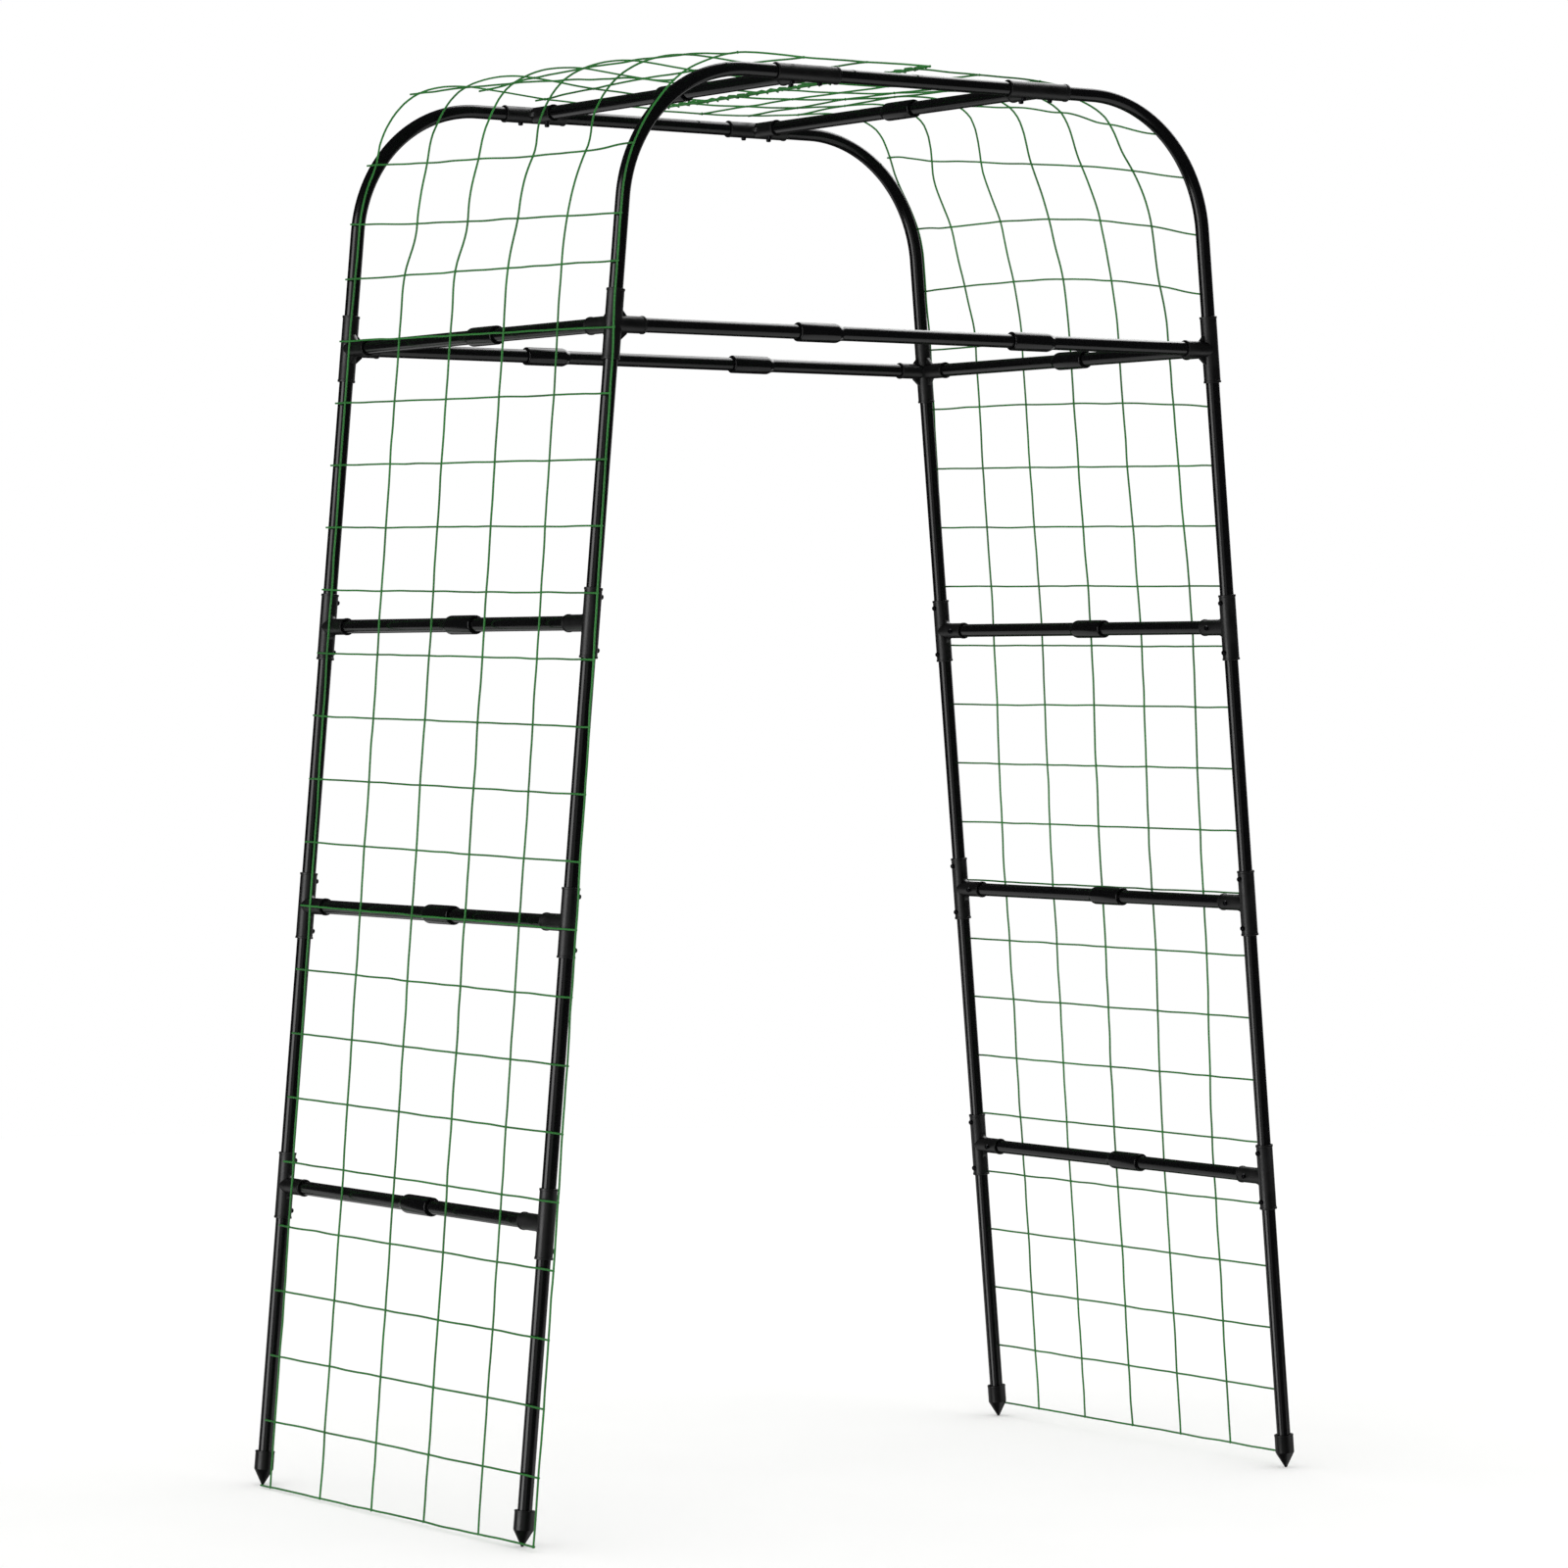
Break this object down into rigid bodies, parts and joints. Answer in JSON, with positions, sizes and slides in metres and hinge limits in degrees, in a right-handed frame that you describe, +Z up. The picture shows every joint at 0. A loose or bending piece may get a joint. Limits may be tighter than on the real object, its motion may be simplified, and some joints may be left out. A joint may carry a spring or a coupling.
{
  "type": "garden trellis arch",
  "caption": "Walk-through trellis arch of socketed tubes with leaning ladder sides, rounded corners, tie bars and climbing nets.",
  "frame": {"origin": "centre of the arch's plan at ground level, under the middle of the walkway", "axes": "+X across the walkway to the right, -Y towards the front, from which the walkway is entered, +Z up"},
  "size_m": [1.2986, 0.7378, 1.9208],
  "materials": {
    "tube": "gloss black plastic coating",
    "fitting": "matte moulded",
    "cap": "satin moulded",
    "screw": "black zinc",
    "net": "twisted polyethylene twine"
  },
  "bodies": {
    "root": {"front_left_foot_cap": "cap", "front_right_foot_cap": "cap", "back_left_foot_cap": "cap", "back_right_foot_cap": "cap", "front_left_foot_tube": "tube", "front_right_foot_tube": "tube", "back_left_foot_tube": "tube", "back_right_foot_tube": "tube", "front_left_leg_tubes": "tube", "front_right_leg_tubes": "tube", "back_left_leg_tubes": "tube", "back_right_leg_tubes": "tube", "front_left_leg_tees": "fitting", "front_right_leg_tees": "fitting", "back_left_leg_tees": "fitting", "back_right_leg_tees": "fitting", "front_left_four_way_fitting": "fitting", "front_right_four_way_fitting": "fitting", "back_left_four_way_fitting": "fitting", "back_right_four_way_fitting": "fitting", "front_left_corner_bend": "tube", "front_right_corner_bend": "tube", "back_left_corner_bend": "tube", "back_right_corner_bend": "tube", "front_left_top_tee": "fitting", "front_right_top_tee": "fitting", "back_left_top_tee": "fitting", "back_right_top_tee": "fitting", "front_top_tube": "tube", "back_top_tube": "tube", "front_left_rung_1": "tube", "front_left_rung_2": "tube", "front_left_rung_3": "tube", "front_right_rung_1": "tube", "front_right_rung_2": "tube", "front_right_rung_3": "tube", "back_left_rung_1": "tube", "back_left_rung_2": "tube", "back_left_rung_3": "tube", "back_right_rung_1": "tube", "back_right_rung_2": "tube", "back_right_rung_3": "tube", "front_left_spring_bar": "tube", "front_right_spring_bar": "tube", "back_left_spring_bar": "tube", "back_right_spring_bar": "tube", "front_left_top_bar": "tube", "front_right_top_bar": "tube", "back_left_top_bar": "tube", "back_right_top_bar": "tube", "front_left_tie": "tube", "front_right_tie": "tube", "back_left_tie": "tube", "back_right_tie": "tube", "front_middle_tie": "tube", "back_middle_tie": "tube", "left_side_net": "net", "right_side_net": "net", "crown_net": "net", "fitting_screws": "screw"}
  },
  "joints": []
}
